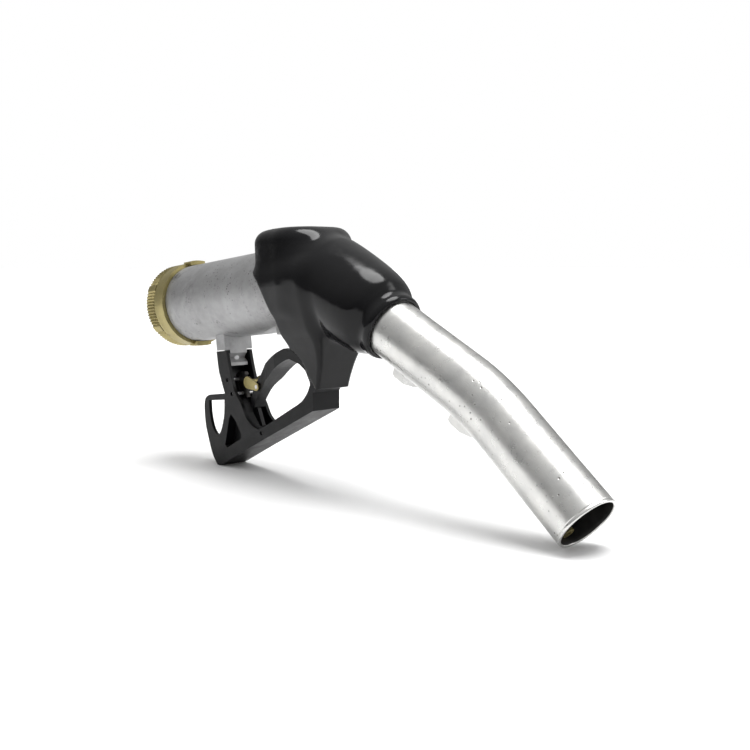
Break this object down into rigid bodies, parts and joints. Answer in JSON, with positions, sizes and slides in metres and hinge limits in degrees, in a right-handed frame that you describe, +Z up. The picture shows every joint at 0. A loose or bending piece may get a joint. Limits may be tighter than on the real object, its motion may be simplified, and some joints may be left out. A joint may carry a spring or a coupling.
{
  "type": "fuel nozzle",
  "caption": "Automatic fuel nozzle with swivel inlet ring, cast barrel, black cover, lever with hold-open latch, hand guard and bent spout.",
  "frame": {"origin": "on the floor under the middle of the overall box, with the nozzle resting on its guard's heel and its spout tip", "axes": "+X forward towards the spout tip, +Y to the nozzle's left, +Z up; the barrel rises forward by 6.25 degrees"},
  "size_m": [0.4131, 0.064, 0.1773],
  "materials": {
    "cast_aluminium": "pitted sand-cast satin",
    "spout_aluminium": "bright drawn tube with small pits",
    "brass": "dull olive yellow",
    "steel": "plain zinc-plated",
    "dark_steel": "blackened and greasy",
    "cover_vinyl": "glossy soft black vinyl",
    "guard_plastic": "semi-matt black",
    "lever_plastic": "semi-matt black",
    "seal_rubber": "matt black",
    "inner_plastic": "dark grey acetal"
  },
  "bodies": {
    "nozzle": {"barrel_body": "cast_aluminium", "valve_cap": "cast_aluminium", "diaphragm_cap": "cast_aluminium", "spout_nut": "cast_aluminium", "spout_tube": "spout_aluminium", "spout_lugs": "spout_aluminium", "valve_seat": "brass", "stem_gland": "brass", "venturi_seat": "brass", "sensing_port": "brass", "ring_retainer": "steel", "inlet_strainer": "steel", "main_spring": "steel", "diaphragm_spring": "steel", "cap_screws": "steel", "check_spring": "steel", "sensing_tube": "steel", "guard_rear_screw": "steel", "guard_front_screw": "steel", "lever_pivot_pin": "steel", "lever_spring": "steel", "lever_stop_pin": "steel", "rack_pins": "steel", "latch_rack": "dark_steel", "body_cover": "cover_vinyl", "hand_guard": "guard_plastic", "swivel_o_ring": "seal_rubber", "inlet_washer": "seal_rubber", "stem_seal": "seal_rubber", "diaphragm": "seal_rubber", "spout_o_ring": "seal_rubber", "check_guide": "inner_plastic"},
    "swivel": {"inlet_ring": "brass"},
    "lever": {"lever": "lever_plastic", "lever_pad": "steel", "latch_pin": "steel"},
    "clip": {"latch_clip": "brass"},
    "valve": {"valve_stem": "steel", "main_poppet": "cast_aluminium", "poppet_seal": "seal_rubber", "latch_rollers": "steel"},
    "shutoff": {"latch_plunger": "steel"},
    "check": {"check_poppet": "inner_plastic"}
  },
  "joints": [
    {"name": "inlet_swivel", "type": "hinge", "parent": "nozzle", "child": "swivel", "pos_m": [-0.18991, 0, 0.11979], "axis": [0.9941, 0, 0.1089], "continuous": true},
    {"name": "lever_pivot", "type": "hinge", "parent": "nozzle", "child": "lever", "pos_m": [-0.02267, 0, 0.08076], "axis": [0, 1, 0], "range_deg": [0, 14], "stiffness_Nm_per_rad": 1.2, "springref_deg": -28.65},
    {"name": "clip_pivot", "type": "hinge", "parent": "lever", "child": "clip", "pos_m": [-0.09365, 0, 0.06293], "axis": [0, 1, 0], "range_deg": [-20, 30], "stiffness_Nm_per_rad": 0.004},
    {"name": "valve_lift", "type": "slide", "parent": "nozzle", "child": "valve", "axis": [-0.1089, 0, 0.9941], "range_m": [0, 0.004], "deforming": ["main_spring"]},
    {"name": "shutoff_slide", "type": "slide", "parent": "nozzle", "child": "shutoff", "axis": [-0.1089, 0, 0.9941], "range_m": [0, 0.002], "stiffness_N_per_m": 400, "springref_m": -0.002, "deforming": ["diaphragm_spring"]},
    {"name": "check_slide", "type": "slide", "parent": "nozzle", "child": "check", "axis": [0.8976, 0, -0.4407], "range_m": [0, 0.005], "stiffness_N_per_m": 300, "springref_m": -0.004, "deforming": ["check_spring"]}
  ],
  "couplings": [
    {"joint": "valve_lift", "follows": "lever_pivot", "m_per_rad": 0.0155}
  ]
}
